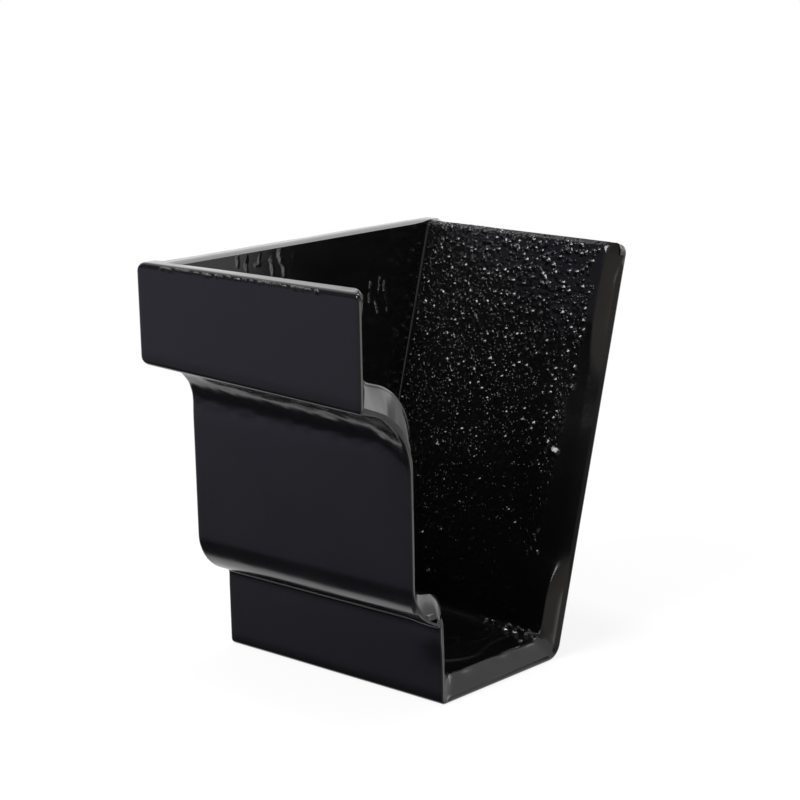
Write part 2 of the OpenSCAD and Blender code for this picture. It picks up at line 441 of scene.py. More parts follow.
# %% The rim of the mouth
# The last ring is still selected in edit mode. Its outer and its inner half are bridged to one strip.
bm = bmesh.from_edit_mesh(casting.data)
number = bm.verts.layers.int["number"]
last_ring = [e for e in bm.edges if e.verts[0].select and e.verts[1].select]
for e in last_ring:
    halves = {v[number] < OUTER for v in e.verts}
    e.select_set(len(halves) == 1)
bm.select_flush(False)
bpy.ops.mesh.select_mode(type="EDGE")
bmesh.update_edit_mesh(casting.data)
before = len(bm.faces)
bpy.ops.mesh.bridge_edge_loops()
print("faces in the rim of the mouth:", len(bmesh.from_edit_mesh(casting.data).faces) - before)

# %% The end plate, from its inner face out
plate_rows = [(x, 0) for x in (PLATE_T, (PLATE_T + PLATE_LEVEL) / 2, PLATE_LEVEL, 1.9)]
plate_rows += quarter(CLOSED_EDGE, 5)[::-1]
plate = skin("end_plate_skin", [plate_ring(*row) for row in plate_rows])
bpy.ops.mesh.edge_face_add()


# %% [markdown]
# ## Closing the skin
#
# The two skins are joined and their shared points merged. The only open loop left is the end plate's inner face, which
# is filled. A big flat face can't be shaped, so the plate's two faces are then cut into cells with bisecting planes.


# %% Join, merge and fill
def edit(piece):
    """Edit mode on one piece with nothing in it selected."""
    only(piece)
    bpy.ops.object.mode_set(mode="EDIT")
    bpy.ops.mesh.select_mode(type="FACE")
    bpy.ops.mesh.select_all(action="DESELECT")


def select_faces(piece, wanted):
    """Selects the faces for which wanted(centre in mm, normal) is true, in edit mode, and counts them."""
    bm = bmesh.from_edit_mesh(piece.data)
    bm.normal_update()
    found = 0
    for face in bm.faces:
        face.select_set(bool(wanted(face.calc_center_median() / MM, face.normal)))
        found += face.select
    bm.select_flush_mode()
    bmesh.update_edit_mesh(piece.data)
    return found


def select_open_edges():
    """Selects the edges that have a face on one side only."""
    bpy.ops.mesh.select_mode(type="EDGE")
    bpy.ops.mesh.select_non_manifold(extend=False, use_wire=False, use_multi_face=False, use_non_contiguous=False,
                                     use_verts=False)


only(casting)
plate.select_set(True)
bpy.ops.object.join()
edit(casting)
bpy.ops.mesh.select_all(action="SELECT")
bpy.ops.mesh.remove_doubles(threshold=2e-6)
select_open_edges()
bpy.ops.mesh.edge_face_add()
bpy.ops.mesh.select_mode(type="FACE")
bpy.ops.mesh.select_all(action="SELECT")
bpy.ops.mesh.dissolve_degenerate(threshold=1e-6)
bpy.ops.mesh.normals_make_consistent(inside=False)


# %% Cells on the plate's two faces
def cells(piece, wanted, spacing, reach_y, reach_z):
    """Cuts the wanted flat faces into cells with planes across y and across z."""
    cuts = [((0, y * MM, 0), (0, 1, 0)) for y in np.arange(*reach_y, spacing)]
    cuts += [((0, 0, z * MM), (0, 0, 1)) for z in np.arange(*reach_z, spacing)]
    for at, across in cuts:
        if select_faces(piece, wanted):
            bpy.ops.mesh.bisect(plane_co=at, plane_no=across, use_fill=False)
    print("cells:", select_faces(piece, wanted))


INNER_X, INNER_CELL, OUTER_CELL = PLATE_T - LENGTH / 2, 2.5, 6.0
cells(casting, lambda c, n: abs(c.x - INNER_X) < 0.01 and n.x > 0.99, INNER_CELL, (-46.1, 46), (6.3, 98))
cells(casting, lambda c, n: c.x < 0.01 - LENGTH / 2 and n.x < -0.99, OUTER_CELL, (-45.3, 46), (3.1, 99))
bpy.ops.object.mode_set(mode="OBJECT")


# %% Is it closed?
def count_open(piece):
    """Prints how many edges don't lie between two faces, and how many faces there are."""
    bm = bmesh.new()
    bm.from_mesh(piece.data)
    print("edges that aren't closed:", sum(not e.is_manifold for e in bm.edges), "faces:", len(bm.faces))
    bm.free()


count_open(casting)

# %% [markdown]
# ## Bolt hole and softened edges
#
# A bolt through the sole ties the stop end to the gutter. A Boolean could cut its hole, but its mesh was not stable
# here. So a patch of the sole is taken out above and below, each opening's edge is extruded and laid on the hole's
# circle, and the two circles are bridged. A small bevel on every edge that is still sharp then gives the thin light
# lines that gloss paint shows there.

# %% Open the sole and lay each opening's edge on a circle
PATCH_HALF, SOFTENED = 7, 0.3
hole_x = LENGTH - BOLT_IN
hole_at = place(hole_x, (LOW_SET + width_at(hole_x) - BACK_SET) / 2, 0)


def ring_on_circle(side, height):
    """Takes out a patch of the sole on one side, and leaves its extruded edge on the hole's circle."""
    def patch(c, n):
        away = (abs(c.x - hole_at.x / MM), abs(c.y - hole_at.y / MM))
        return max(away) < PATCH_HALF and n.z * side > 0.9 and abs(c.z - height) < 0.5

    for _ in range(2):
        select_faces(casting, patch)
        bpy.ops.mesh.subdivide(number_cuts=1)
    select_faces(casting, patch)
    bpy.ops.mesh.delete(type="FACE")
    select_open_edges()
    bm = bmesh.from_edit_mesh(casting.data)
    for e in bm.edges:
        if e.select and abs(e.verts[0].co.z / MM - height) > 0.5:
            e.select_set(False)
    bmesh.update_edit_mesh(casting.data)
    bpy.ops.mesh.extrude_region_move()
    bm = bmesh.from_edit_mesh(casting.data)
    found = [v for v in bm.verts if v.select]
    for v in found:
        out = (v.co - hole_at).to_2d().normalized() * BOLT_D / 2 * MM
        v.co = (hole_at.x + out.x, hole_at.y + out.y, v.co.z)
    bmesh.update_edit_mesh(casting.data)
    bpy.ops.mesh.select_mode(type="FACE")
    return len(found)


edit(casting)
print("points on the hole's circles:", ring_on_circle(1, SOLE_T), ring_on_circle(-1, 0))
select_open_edges()
bpy.ops.mesh.bridge_edge_loops()
bpy.ops.mesh.select_all(action="SELECT")
bpy.ops.mesh.normals_make_consistent(inside=False)
bpy.ops.object.mode_set(mode="OBJECT")
count_open(casting)


# %% Soften the sharp edges
def apply(piece, modifier):
    """Applies a modifier as by hand."""
    only(piece)
    bpy.ops.object.modifier_apply(modifier=modifier.name)


soften = casting.modifiers.new("soften", "BEVEL")
soften.width, soften.segments, soften.limit_method = SOFTENED * MM, 2, "ANGLE"
soften.angle_limit, soften.use_clamp_overlap = math.radians(40), True
apply(casting, soften)
count_open(casting)

# %% [markdown]
# ## Relief
#
# Sand-cast iron is never quite flat, and thick black paint adds its own marks: pebbles over sand, runs, beads on an
# edge, ripples in a puddle. A bump texture could fake them, but not in the outline. So each mark is a weight on the
# skin, raised along its normals with a Displace modifier once its place has been divided finely enough.


# %% Divide a place and measure the skin
FRONT_AT = front_y(0)


def divide(piece, wanted, cuts):
    """Subdivides the wanted faces of the skin."""
    edit(piece)
    found = select_faces(piece, wanted)
    bpy.ops.mesh.subdivide(number_cuts=cuts)
    bpy.ops.object.mode_set(mode="OBJECT")
    print("divided", found, "faces, the casting now has", len(piece.data.polygons))


def measured(piece):
    """Each vertex's mm from the closed end, the front face and the sole, its normal, and if it's outside."""
    mesh = piece.data
    count = len(mesh.vertices)
    at, normal, outside = (np.empty(count * 3), np.empty(count * 3), np.empty(count))
    mesh.vertices.foreach_get("co", at)
    mesh.vertex_normals.foreach_get("vector", normal)
    mesh.attributes["outside"].data.foreach_get("value", outside)
    at, normal = at.reshape(-1, 3) / MM, normal.reshape(-1, 3)
    x = at[:, 0] + LENGTH / 2
    depth = at[:, 1] - FRONT_AT - x * DRAFT
    return x, depth, at[:, 2], normal, outside > 0.5


print("the front face stands at y =", round(FRONT_AT, 2), "mm at the closed end")


# %% Noise and domes for the marks, and raising them
def rough(piece, size, where, seed=0, lengthen=(1, 1, 1)):
    """Noise from -1 to 1 with marks of the given size in mm, at the vertices picked by where."""
    values = np.zeros(len(piece.data.vertices))
    step = [1 / (size * MM * k) for k in lengthen]
    for i in np.nonzero(where)[0]:
        co = piece.data.vertices[i].co
        values[i] = noise.noise(Vector((co.x * step[0] + seed, co.y * step[1], co.z * step[2])))
    return values


def domes(places, x, z, mask, lengthen):
    """Round domes of weight 1, each given by its x, z and radius, where mask is true, lengthened along x."""
    weights = np.zeros(len(x))
    for dome_x, dome_z, radius in places:
        away = np.hypot((x - dome_x) / lengthen[0], (z - dome_z) / lengthen[1]) / radius
        weights = np.maximum(weights, mask * (1 - np.clip(away, 0, 1) ** 2))
    return weights


def raise_skin(piece, name, height, weights):
    """Raises the skin by height in mm times the weights, along its normals."""
    group = piece.vertex_groups.new(name=name)
    for i in np.nonzero(weights > 0.001)[0]:
        group.add([int(i)], float(min(weights[i], 1)), "REPLACE")
    lift = piece.modifiers.new(name, "DISPLACE")
    lift.vertex_group, lift.strength, lift.mid_level = name, height * MM, 0
    apply(piece, lift)
    print(name, "on", int((weights > 0.001).sum()), "points")


# %% [markdown]
# The casting's faces wander by a tenth of a millimetre, which the long reflections show. At the mouth, the middle band
# ends in a raised strip that runs out below the cove, and the lower band swells at its upper corner.

# %% Wandering faces and the raised strip at the mouth
WANDER, WANDER_SIZE, STRIP, SWELL = 0.10, 24, 0.35, 0.6
everywhere = np.ones(len(casting.data.vertices), bool)
raise_skin(casting, "wander", -WANDER, 0.5 + 0.5 * rough(casting, WANDER_SIZE, everywhere, 3.1))
x, depth, z, normal, outside = measured(casting)
upper_z = HEIGHT - BAND_MOUTH - MID_SET * math.tan(LEDGE_FALL)
middle_band = outside & (depth < MID_SET + 3) & (depth > 3) & (z < upper_z + 4)
strip = smooth((x - 59) / 8) * smooth((z - 46) / 22) * middle_band * smooth((depth - 5) / 6)
raise_skin(casting, "mouth_strip", STRIP, strip)
x, depth, z, normal, outside = measured(casting)
low_corner = outside & (depth < LOW_SET + 3) & (z < LOW_H + 3)
swell = smooth((x - 60) / 8) * smooth((z - 9) / 8) * low_corner * smooth((depth - 18) / 5)
raise_skin(casting, "low_swell", SWELL, swell)

# %% [markdown]
# In the cove and along the nose the paint is lumpy, and its highlight breaks up.

# %% Lumpy cove and nose
COVE_LUMP, COVE_LUMP_SIZE, NOSE_LUMP, NOSE_LUMP_SIZE = 0.16, 1.9, 0.06, 3.0


def under_a_band(depths, heights):
    """A test for the front's faces in a range of depths and heights that look neither up nor back."""
    return lambda c, n: (depths[0] < c.y - FRONT_AT - (c.x + LENGTH / 2) * DRAFT < depths[1]
                         and heights[0] < c.z < heights[1] and n.y < 0.1 and n.z < 0.1 and abs(n.x) < 0.5)


divide(casting, under_a_band((4, 16), (58, 76)), 2)
divide(casting, under_a_band((13.5, 25.5), (17, 29)), 1)
x, depth, z, normal, outside = measured(casting)
lumpy = outside & (depth > 3.5) & (depth < 16) & (z > 59) & (z < 76)
weights = lumpy * smooth((z - 60) / 4) * (0.5 + 0.5 * rough(casting, COVE_LUMP_SIZE, lumpy, 7.7, (1.6, 1, 1)))
raise_skin(casting, "cove_lumps", -COVE_LUMP, weights)
x, depth, z, normal, outside = measured(casting)
lumpy = outside & (depth > 13.5) & (depth < 26) & (z > 17) & (z < 28)
weights = lumpy * (0.5 + 0.5 * rough(casting, NOSE_LUMP_SIZE, lumpy, 1.3, (2.5, 1, 1)))
raise_skin(casting, "nose_lumps", -NOSE_LUMP, weights)

# %% [markdown]
# On the round edge of the front rim the paint has drawn up into a row of small beads. That edge is first divided only
# along the gutter, so that its faces stay nearly square. A narrow row below it keeps their shading off the flat face.

# %% Divide the rim's round edge
def on_rim_edge(c, n):
    return -0.995 < n.y < -0.72 and 98.0 < c.z < 99.7 and c.y < -40 and c.x > -32


def divide_along(piece, wanted, cuts):
    """Subdivides the wanted faces along the gutter only."""
    edit(piece)
    select_faces(piece, wanted)
    bpy.ops.mesh.select_mode(type="EDGE")
    bm = bmesh.from_edit_mesh(piece.data)
    for e in bm.edges:
        run = e.verts[1].co - e.verts[0].co
        if e.select and abs(run.x) < 0.9 * run.length:
            e.select_set(False)
    bmesh.update_edit_mesh(piece.data)
    bpy.ops.mesh.subdivide(number_cuts=cuts)
    bpy.ops.object.mode_set(mode="OBJECT")


def rim_edge(along):
    """Height of the front face's upper end, below the rim's round edge."""
    return HEIGHT - CORNER_R - RIM_SINK * (along / LENGTH) ** 1.5


edit(casting)
select_faces(casting, lambda c, n: n.y < -0.99 and 95 < c.z < 98.7 and c.y < -40)
slope, row_below = (rim_edge(0) - rim_edge(LENGTH)) / LENGTH, rim_edge(0) - 0.35
bpy.ops.mesh.bisect(plane_co=(-LENGTH / 2 * MM, 0, row_below * MM), plane_no=(slope, 0, 1), use_fill=False)
divide_along(casting, on_rim_edge, 5)
divide(casting, on_rim_edge, 1)

# %% Beads along the front rim
BEADS_FROM, BEADS_TO, BEAD_HEIGHT = 9.0, 58, 0.55
rng = np.random.default_rng(41)
beads = []
bead_x = BEADS_FROM
while bead_x < BEADS_TO:
    bead_z = rim_edge(bead_x) + 0.5 + rng.normal(0, 0.08)
    beads.append((bead_x, bead_z, 0.26 + 0.20 * rng.random()))
    bead_x += 0.7 + 2.2 * rng.random() ** 2
x, depth, z, normal, outside = measured(casting)
near_rim = outside & (z > rim_edge(x) + 0.05) & (depth < 1.5) & (normal[:, 1] < -0.5) & (x < BEADS_TO + 4)
raise_skin(casting, "beads", BEAD_HEIGHT, domes(beads, x, z, near_rim, (1.4, 1)))
print("beads:", len(beads))

# %% [markdown]
# The end plate's inner face carries two groups of runs, where paint has crept down and dried in ridges. Each run is
# given by its y, the heights of its top and its foot, and its width. It sways, and breaks off here and there.

# %% Runs on the end plate
RUN_HEIGHT, RUN_NARROW = 0.42, 0.40
divide(casting, lambda c, n: abs(c.x - INNER_X) < 0.3 and n.x > 0.9 and (
    (89 < c.z < 99.5 and -26 < c.y < 0) or (74 < c.z < 88.5 and 15.5 < c.y < 31)), 9)
RUNS = [(-23.2, 99.4, 95.0, 0.8), (-19.5, 99.2, 93.5, 0.9), (-15.6, 99.3, 94.2, 0.8), (-11.8, 98.8, 91.0, 1.0),
        (-8.0, 99.4, 90.4, 1.1), (-3.6, 99.0, 95.5, 0.8), (19.6, 82.5, 77.0, 0.7), (22.0, 87.0, 76.5, 0.7),
        (24.6, 85.0, 75.6, 0.8), (26.6, 87.4, 82.0, 0.7), (28.6, 86.4, 76.4, 0.8)]
x, depth, z, normal, outside = measured(casting)
across = depth + FRONT_AT + x * DRAFT
plate_inner = (np.abs(x - PLATE_T) < 0.6) & (normal[:, 0] > 0.6)
sway = rough(casting, 5, plate_inner, 11.0)
ragged, broken = rough(casting, 1.3, plate_inner, 5.0), rough(casting, 1.7, plate_inner, 9.0)
weights = np.zeros(len(x))
for run_y, top_z, foot_z, run_width in RUNS:
    ridge = np.exp(-(((across - run_y + 1.4 * sway + 0.5 * ragged) / (RUN_NARROW * run_width)) ** 2))
    length_way = smooth((top_z + 0.5 - z) / 1.5) * smooth((z - foot_z) / 2.5)
    weights = np.maximum(weights, ridge * length_way * np.clip(0.7 + broken, 0.2, 1))
raise_skin(casting, "runs", RUN_HEIGHT, weights * plate_inner)

# %% [markdown]
# On the sole, a puddle of paint has dried in ripples behind the mouth, and it waves over the edge of the bevel there.

# %% Ripples on the sole
RIPPLE, RIPPLE_SIZE, BANK, BANK_AT, BANK_SIZE = 0.5, 9, 0.4, 65.6, 5
divide(casting, lambda c, n: n.z > 0.5 and c.z < 9 and c.x > 12 and abs(c.y) < 22, 3)
x, depth, z, normal, outside = measured(casting)
on_sole = (normal[:, 2] > 0.3) & (z < 9) & (x > 46) & ~outside
flow = rough(casting, RIPPLE_SIZE, on_sole, 2.0, (1, 1.8, 1))
ripple = np.exp(-((flow - 0.05) / 0.07) ** 2) + 0.7 * np.exp(-((flow + 0.28) / 0.06) ** 2)
reach = smooth((x - 48) / 5) * smooth((65.5 - x) / 1.5)
raise_skin(casting, "ripples", RIPPLE, on_sole * ripple * reach * 0.8)
x, depth, z, normal, outside = measured(casting)
wave = rough(casting, BANK_SIZE, on_sole, 9.0) * 0.5 + 0.5
bank = np.exp(-((x - BANK_AT - 1.2 * wave) / 1.1) ** 2)
raise_skin(casting, "bank", BANK, on_sole * bank * wave)

# %% [markdown]
# Where the sole meets the back, paint has gathered in drops, more of them towards the mouth. Each is a low dome that
# catches the small lamp above.

# %% Drops in the corner behind the sole
DROPS_FROM, DROPS_TO, DROP_HEIGHT = 42.0, 66, 0.5
x, depth, z, normal, outside = measured(casting)
in_corner = (normal[:, 1] < -0.15) & (normal[:, 1] > -0.8) & (normal[:, 2] > 0.55) & (z < 9) & (x > 40) & ~outside
rng = np.random.default_rng(5)
drops = []
drop_x = DROPS_FROM
while drop_x < DROPS_TO:
    drops.append((drop_x, 5.5 + 0.5 * rng.random(), 0.6 + 0.4 * rng.random()))
    drop_x += 0.9 + 2.4 * rng.random() * (DROPS_TO - drop_x) / (DROPS_TO - DROPS_FROM)
raise_skin(casting, "corner_drops", DROP_HEIGHT, domes(drops, x, z, in_corner, (1, 1 / 1.3)))
print("drops:", len(drops))

# %% [markdown]
# ## Pebbles
#
# The back wall was cast against coarse sand, whose grains show through the paint as a dense field of small round
# pebbles that glint one by one. Each pebble is a low dome round a seeded point, on a wall divided to a third of a
# millimetre. They run up to the end plate and the rim, and leave the strip at the mouth smooth. A few clots and one
# flat flake near the mouth stand out. The finest grains are too small for the skin, and come with the paint below.

# %% Divide the back wall
BACK_IN = (0, -COS, SIN)


def on_back_wall(c, n):
    return n.dot(Vector(BACK_IN)) > 0.6 and c.y > 10 and c.x < LENGTH / 2 - BEVEL - 0.3 and c.z > 9


divide(casting, on_back_wall, 5)

# %% Seed the pebbles
PITCH, LOOSENESS, SMALLEST, SPREAD, ROUND = 0.86, 0.42, 0.34, 0.40, 0.47
CLOT_R, LOW_PEBBLE = 0.62, 0.35
rng = np.random.default_rng(17)
grid_x, grid_up = np.meshgrid(np.arange(6, 67, PITCH), np.arange(8, 104, PITCH))
seeds = np.column_stack([grid_x.ravel(), grid_up.ravel()])
seeds += rng.uniform(-LOOSENESS, LOOSENESS, seeds.shape) * PITCH
radius = SMALLEST + SPREAD * rng.random(len(seeds)) ** 1.7
share = 0.62 + 0.33 * smooth((seeds[:, 1] - 30) / 50)
kept = rng.random(len(seeds)) < share
seeds, radius = seeds[kept], radius[kept]
radius[rng.random(len(seeds)) < 0.012] *= 1.5
steep_share = 0.06 + 0.94 * smooth((seeds[:, 1] - 12) / 80) ** 1.3
steep_share *= 1 - 0.6 * smooth((seeds[:, 0] - 12) / 45)
steep = rng.random(len(seeds)) < steep_share
CLOTS = [(6.6, 54.2), (7.6, 54.9), (8.3, 54.0), (7.2, 56.0), (9.6, 59.0), (62.5, 85.5), (63.0, 86.4), (62.6, 84.6),
         (61.0, 79.5), (61.8, 78.2), (62.6, 77.3)]
seeds = np.vstack([seeds, CLOTS])
radius, steep = np.append(radius, [CLOT_R] * len(CLOTS)), np.append(steep, [True] * len(CLOTS))
tall = radius ** 2 / (2 * ROUND) * np.where(steep, 0.8 + 0.4 * rng.random(len(seeds)), LOW_PEBBLE)
nearest = kdtree.KDTree(len(seeds))
for i, (seed_x, seed_up) in enumerate(seeds):
    nearest.insert((seed_x, seed_up, 0), i)
nearest.balance()
print("pebbles:", len(seeds), "of which steep:", int(steep.sum()))

# %% Where the wall is sandy
x, depth, z, normal, outside = measured(casting)
wall_gap = np.abs((width_at(0) - 2 * x * DRAFT - depth - (HEIGHT - z) * TAN) * COS - WALL)
facing = normal @ np.array(BACK_IN) > 0.5
sandy = (wall_gap < 1.8) & facing & ~outside & (x > PLATE_T + 0.5) & (x < LENGTH - BEVEL - 1) & (z > SOLE_T + 1.5)
margin = 1.2 + 4.2 * smooth((92 - z) / 60) + 1.6 * rough(casting, 5, sandy & (x > 50), 21.0)
edge_fade = smooth(LENGTH - BEVEL - margin - x) * smooth((x - PLATE_T - 0.5) / 0.5) * smooth((z - 7) / 3)
edge_fade *= smooth((HEIGHT - 0.15 - z) / 0.3)
sand = casting.data.attributes.new("sand", "FLOAT", "POINT")
sand.data.foreach_set("value", (sandy * edge_fade).astype(np.float32))
print("points in the sand:", int(sandy.sum()))

# %% Raise the pebbles and the flake
FLAKE_X, FLAKE_UP, FLAKE_LONG, FLAKE_WIDE = 60.3, 50.8, 1.5, 0.8
weights = np.zeros(len(x))
for i in np.nonzero(sandy & (edge_fade > 0))[0]:
    up = z[i] / COS
    for _, k, away in nearest.find_range((x[i], up, 0), 1.25):
        if away < radius[k]:
            weights[i] = max(weights[i], tall[k] * (1 - (away / radius[k]) ** 2))
weights *= edge_fade
off_x, off_up = x - FLAKE_X, z / COS - FLAKE_UP
slant = off_x * 0.9 - off_up * 0.43, off_x * 0.43 + off_up * 0.9
flake = np.clip(4 * (1 - (slant[0] / FLAKE_LONG) ** 2 - (slant[1] / FLAKE_WIDE) ** 2), 0, 1) * sandy
weights = np.maximum(weights, flake * (0.3 - 0.295 * off_up))
raise_skin(casting, "pebbles", 1.0, weights)

# %% [markdown]
# ## Inside the CAD box
#
# None of the marks may make the casting bigger than it is, so whatever stands past the CAD's box is laid back on it.

# %% Lay the skin back on the CAD box
mesh = casting.data
at = np.empty(len(mesh.vertices) * 3)
mesh.vertices.foreach_get("co", at)
mesh.vertices.foreach_set("co", np.clip(at.reshape(-1, 3), cad_low, cad_high).ravel())
mesh.update()
count_open(casting)
mesh.calc_loop_triangles()
print("triangles:", len(mesh.loop_triangles))

# %% [markdown]
# ## Stage, lights and camera
#
# The photo is a plain packshot on white, taken from a little above with the mouth turned towards the camera. This
# camera was fitted to the casting's edges in the photo.

# %% Camera
CAMERA_AT = (0.32625, -0.33764, 0.16998)
AZIMUTH, ELEVATION, ROLL = (math.radians(a) for a in (42.695, 13.678, -0.748))
level = math.cos(ELEVATION)
back = Vector((math.sin(AZIMUTH) * level, -math.cos(AZIMUTH) * level, math.sin(ELEVATION)))
right = Vector((math.cos(AZIMUTH), math.sin(AZIMUTH), 0))
up = back.cross(right)
right, up = (math.cos(ROLL) * right + math.sin(ROLL) * up, -math.sin(ROLL) * right + math.cos(ROLL) * up)
lens = bpy.data.cameras.new("packshot_camera")
camera = bpy.data.objects.new("packshot_camera", lens)
bpy.context.scene.collection.objects.link(camera)
lens.sensor_width, lens.lens = 36.0, 89.413
lens.shift_x, lens.shift_y = -0.05, 0.0375
lens.clip_start, lens.clip_end = 0.05, 20.0
camera.matrix_world = Matrix.Translation(CAMERA_AT) @ Matrix((right, up, back)).transposed().to_4x4()
bpy.context.scene.camera = camera
print("camera looks along", [round(v, 3) for v in -back])

# %% [markdown]
# Gloss black shows little but what it mirrors, so the studio is laid out by direction. It is white behind, above and
# to the sides. Its front, where the camera stands, lies in shade, bluish on the left and warmer on the right, and a
# bright screen low beside it draws the thin light line on the mouth's edge. A lamp high at the front makes the pebbles
# glint, a small one above the drops in the corner, and two softboxes behind lift the rims and the step at the mouth.
# A ready-made environment would be quicker, but it is an image, and can't be laid out like this.


# %% Lights
def softbox(name, place_at, aim_z, size, radiance):
    """An area lamp aimed at the casting's middle, that looks as bright as radiance, where 1 is white."""
    light = bpy.data.lights.new(name, "AREA")
    light.shape, light.size, light.size_y = "RECTANGLE", size[0], size[1]
    light.energy = radiance * math.pi * size[0] * size[1]
    lamp = bpy.data.objects.new(name, light)
    bpy.context.scene.collection.objects.link(lamp)
    lamp.location = place_at
    lamp.rotation_mode = "QUATERNION"
    lamp.rotation_quaternion = (Vector((0, 0, aim_z)) - Vector(place_at)).to_track_quat("-Z", "Y")
    print(name, round(light.energy, 2), "W")


softbox("key_front", (-0.07, -0.77, 0.80), 0.06, (0.5, 0.5), 12)
softbox("back_left", (-1.05, 1.15, 0.62), 0.08, (1.3, 0.9), 0.6)
softbox("back_right", (0.30, 1.05, 0.45), 0.08, (0.45, 0.45), 1.8)
softbox("top", (-0.05, 0.0, 1.1), 0.05, (0.16, 0.16), 50)


# %% Node helpers
def add(tree, kind, **values):
    """A node with its settings, and with its inputs by name where the name is an input."""
    node = tree.nodes.new("ShaderNode" + kind)
    for name, value in values.items():
        plain = name.replace("_", " ")
        if plain in node.inputs:
            node.inputs[plain].default_value = value
        else:
            setattr(node, name, value)
    return node


def wire(tree, *pairs):
    for start, end in pairs:
        tree.links.new(start, end)


def maths(tree, operation, a, b):
    """A Math node whose inputs are sockets or numbers."""
    node = add(tree, "Math", operation=operation)
    for socket, value in zip(node.inputs, (a, b)):
        if isinstance(value, (int, float)):
            socket.default_value = value
        else:
            tree.links.new(value, socket)
    return node.outputs[0]


def ramp(tree, value, low, high, to_low=0.0, to_high=1.0):
    """Maps value from low..high to to_low..to_high with soft ends."""
    node = add(tree, "MapRange", interpolation_type="SMOOTHSTEP")
    for name, number in (("From Min", low), ("From Max", high), ("To Min", to_low), ("To Max", to_high)):
        node.inputs[name].default_value = number
    tree.links.new(value, node.inputs["Value"])
    return node.outputs["Result"]


def ray_kinds(tree):
    """A Light Path node, and 1 for the rays that the object mirrors or lets through."""
    seen = add(tree, "LightPath")
    return seen, maths(tree, "MAXIMUM", seen.outputs["Is Glossy Ray"], seen.outputs["Is Transmission Ray"])


# %% World
bpy.context.scene.view_settings.view_transform = "Standard"
world = bpy.data.worlds.new("white_studio")
bpy.context.scene.world = world
world.use_nodes = True
sky = world.node_tree
sky.nodes.clear()
seen, mirrored = ray_kinds(sky)
direction = add(sky, "NewGeometry")
parts = add(sky, "SeparateXYZ")
wire(sky, (direction.outputs["Position"], parts.inputs[0]))
height = maths(sky, "MULTIPLY_ADD", parts.outputs["Z"], 0.5)
height.node.inputs[2].default_value = 0.5


def tones(stops, cast):
    """Light of the studio by height, from -1 straight down to 1 straight up, with a colour cast."""
    made = add(sky, "ValToRGB")
    elements = made.color_ramp.elements
    while len(elements) < len(stops):
        elements.new(0.5)
    for element, (level, tone) in zip(elements, stops):
        element.position, element.color = (level + 1) / 2, (*[tone * part for part in cast], 1)
    wire(sky, (height, made.inputs[0]))
    return made.outputs["Color"]


def blend(one, other, share):
    """one where share is 0, other where it is 1. Each is a socket or a colour."""
    node = add(sky, "Mix", data_type="RGBA")
    for name, value in (("A", one), ("B", other)):
        if isinstance(value, tuple):
            node.inputs[name].default_value = value
        else:
            wire(sky, (value, node.inputs[name]))
    wire(sky, (share, node.inputs["Factor"]))
    return node.outputs["Result"]


WHITE, BRIGHT, LIGHT_OF_ROOM = (1, 1, 1, 1), (2.6, 2.6, 2.6, 1), 0.7
to_x, to_y = parts.outputs["X"], parts.outputs["Y"]
BLUISH, WARM = (0.96, 0.96, 1.28), (1.05, 1.0, 0.93)
front_left = tones([(-1, 0.12), (-0.62, 0.04), (-0.44, 0.05), (-0.37, 0.17), (-0.33, 0.21), (-0.26, 0.26),
                    (-0.2, 0.40), (-0.1, 0.42), (0.0, 0.16), (0.6, 0.16), (0.9, 0.3)], BLUISH)
front_right = tones([(-1, 0.2), (-0.2, 0.4), (0.1, 0.5), (0.6, 0.3)], WARM)
front = blend(front_left, front_right, ramp(sky, to_x, 0.0, 0.4))
mirror_tone = blend(front, WHITE, ramp(sky, to_y, -0.22, -0.06))
beside = maths(sky, "MULTIPLY", ramp(sky, to_x, 0.80, 0.90), ramp(sky, to_y, -0.46, -0.26))
beside = maths(sky, "MULTIPLY", beside, ramp(sky, parts.outputs["Z"], -0.1, 0.1, 1.0, 0.0))
mirror_tone = blend(mirror_tone, BRIGHT, beside)
strength = maths(sky, "MAXIMUM", maths(sky, "MAXIMUM", mirrored, seen.outputs["Is Camera Ray"]), LIGHT_OF_ROOM)
glow = add(sky, "Background")
wire(sky, (blend(WHITE, mirror_tone, mirrored), glow.inputs["Color"]), (strength, glow.inputs["Strength"]),
     (glow.outputs[0], add(sky, "OutputWorld").inputs["Surface"]))
print("world", world.name, "with", len(sky.nodes), "nodes")

# %% Floor
nothing_selected()
bpy.ops.mesh.primitive_circle_add(vertices=96, radius=3, fill_type="NGON", location=(0, 0, 0))
floor = bpy.context.object
floor.name = "studio_floor"
floor_paint = bpy.data.materials.new("floor_white")
floor_paint.use_nodes = True
paper_tree = floor_paint.node_tree
paper_tree.nodes.clear()
seen, mirrored = ray_kinds(paper_tree)
place_on = add(paper_tree, "TexCoord")
away = add(paper_tree, "VectorMath", operation="LENGTH")
wire(paper_tree, (place_on.outputs["Object"], away.inputs[0]))
own_white = ramp(paper_tree, away.outputs["Value"], 0.06, 0.24, 0.84, 1.0)
share = maths(paper_tree, "MULTIPLY", own_white, seen.outputs["Is Camera Ray"])
paper = add(paper_tree, "BsdfDiffuse", Color=(0.9, 0.9, 0.9, 1))
white = add(paper_tree, "Emission", Color=(1, 1, 1, 1))
clear = add(paper_tree, "BsdfTransparent", Color=(1, 1, 1, 1))
lit, through = add(paper_tree, "MixShader"), add(paper_tree, "MixShader")
wire(paper_tree, (share, lit.inputs[0]), (paper.outputs[0], lit.inputs[1]), (white.outputs[0], lit.inputs[2]),
     (mirrored, through.inputs[0]), (lit.outputs[0], through.inputs[1]), (clear.outputs[0], through.inputs[2]),
     (through.outputs[0], add(paper_tree, "OutputMaterial").inputs["Surface"]))
floor.data.materials.append(floor_paint)
print("floor", [round(v, 2) for v in floor.dimensions], "m")

